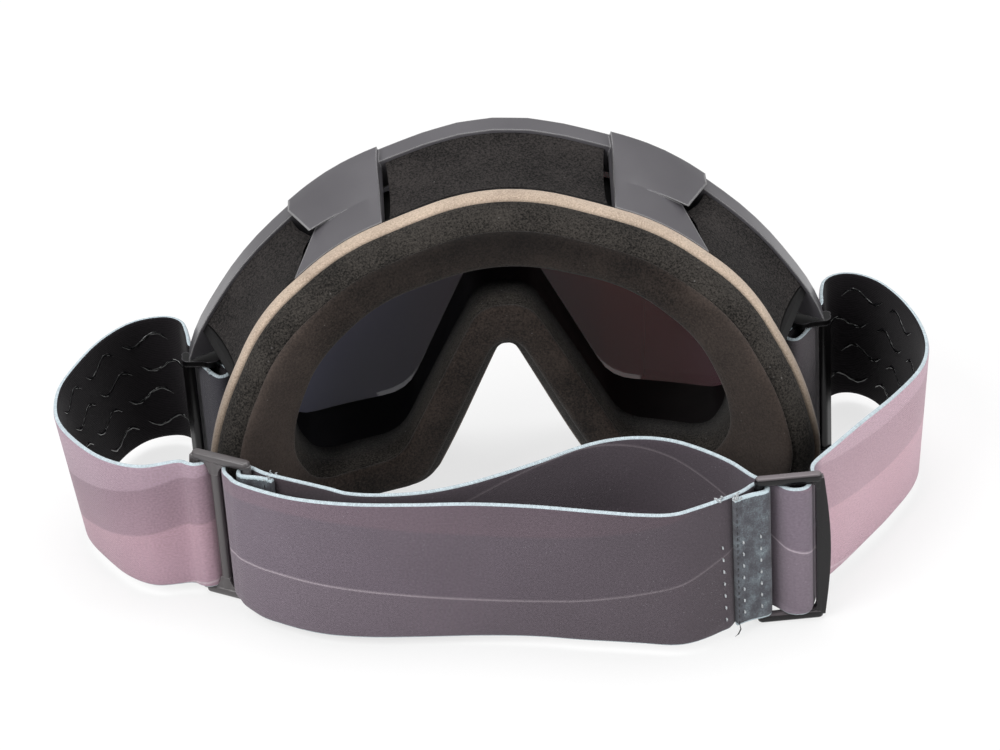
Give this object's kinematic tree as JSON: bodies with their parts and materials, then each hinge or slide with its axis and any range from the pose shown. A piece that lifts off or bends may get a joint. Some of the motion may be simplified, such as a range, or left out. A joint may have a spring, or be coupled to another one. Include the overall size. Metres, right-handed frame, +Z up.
{
  "type": "motocross goggles",
  "caption": "Full-face-fit off-road goggles with curved tinted lens, layered face foam, pivoting outriggers and a wide woven strap joined by slide adjusters.",
  "frame": {"origin": "on the mid plane, at the height of the rest plane, on the surface that the face foam is glued to at the bridge", "axes": "+X across the face to the right in the picture, +Y out through the lens, +Z up; the part stands on the lower edge of the frame and on the two sliders"},
  "size_m": [0.241, 0.118, 0.0989],
  "materials": {
    "frame_gray": "satin moulding",
    "frame_black": "fine matte moulding",
    "lens_tint": "smoked tint with a faint violet sheen",
    "firm_foam": "firm closed tan foam",
    "open_foam": "dark open-cell foam",
    "fleece": "short dark fleece",
    "vent_foam": "coarse open vent foam",
    "steel": "plain pin",
    "outrigger_black": "glossy moulding",
    "strap_weave": "woven elastic with a soft banded print",
    "silicone": "soft clear-black beads",
    "slider_gray": "moulded, light grain"
  },
  "bodies": {
    "goggles": {"outer_frame": "frame_gray", "inner_frame": "frame_black", "lens": "lens_tint", "tear_off_post_left": "frame_black", "tear_off_post_right": "frame_black", "seat_foam": "firm_foam", "open_cell_foam": "open_foam", "face_fleece": "fleece", "vent_foam_top": "vent_foam", "vent_foam_left": "vent_foam", "vent_foam_right": "vent_foam", "vent_foam_lower_left": "vent_foam", "vent_foam_lower_right": "vent_foam", "hinge_pin_left": "steel", "hinge_pin_right": "steel", "strap_left_side": "strap_weave", "strap_left_back": "strap_weave", "strap_right_side": "strap_weave", "strap_right_back": "strap_weave", "grip_left": "silicone", "grip_right": "silicone"},
    "outrigger_left_arm": {"outrigger_left": "outrigger_black", "strap_left_end": "strap_weave"},
    "outrigger_right_arm": {"outrigger_right": "outrigger_black", "strap_right_end": "strap_weave"},
    "adjuster_left": {"slider_left": "slider_gray", "strap_right_tab": "strap_weave"},
    "adjuster_right": {"slider_right": "slider_gray", "strap_left_tab": "strap_weave"}
  },
  "joints": [
    {"name": "outrigger_left_hinge", "type": "hinge", "parent": "goggles", "child": "outrigger_left_arm", "pos_m": [-0.077, 0.008, 0.023], "axis": [0, 0, 1], "range_deg": [-10, 15], "deforming": ["strap_left_side", "grip_left"]},
    {"name": "outrigger_right_hinge", "type": "hinge", "parent": "goggles", "child": "outrigger_right_arm", "pos_m": [0.077, 0.008, 0.023], "axis": [0, 0, 1], "range_deg": [-15, 10], "deforming": ["strap_right_side", "grip_right"]},
    {"name": "adjuster_left_slide", "type": "slide", "parent": "goggles", "child": "adjuster_left", "axis": [-0.8746, 0.4848, 0], "range_m": [-0.006, 0.006], "deforming": ["strap_left_side", "strap_left_back", "strap_right_back", "grip_left"]},
    {"name": "adjuster_right_slide", "type": "slide", "parent": "goggles", "child": "adjuster_right", "axis": [0.9986, 0.0523, 0], "range_m": [-0.006, 0.006], "deforming": ["strap_right_side", "strap_right_back", "strap_left_back", "grip_right"]}
  ]
}
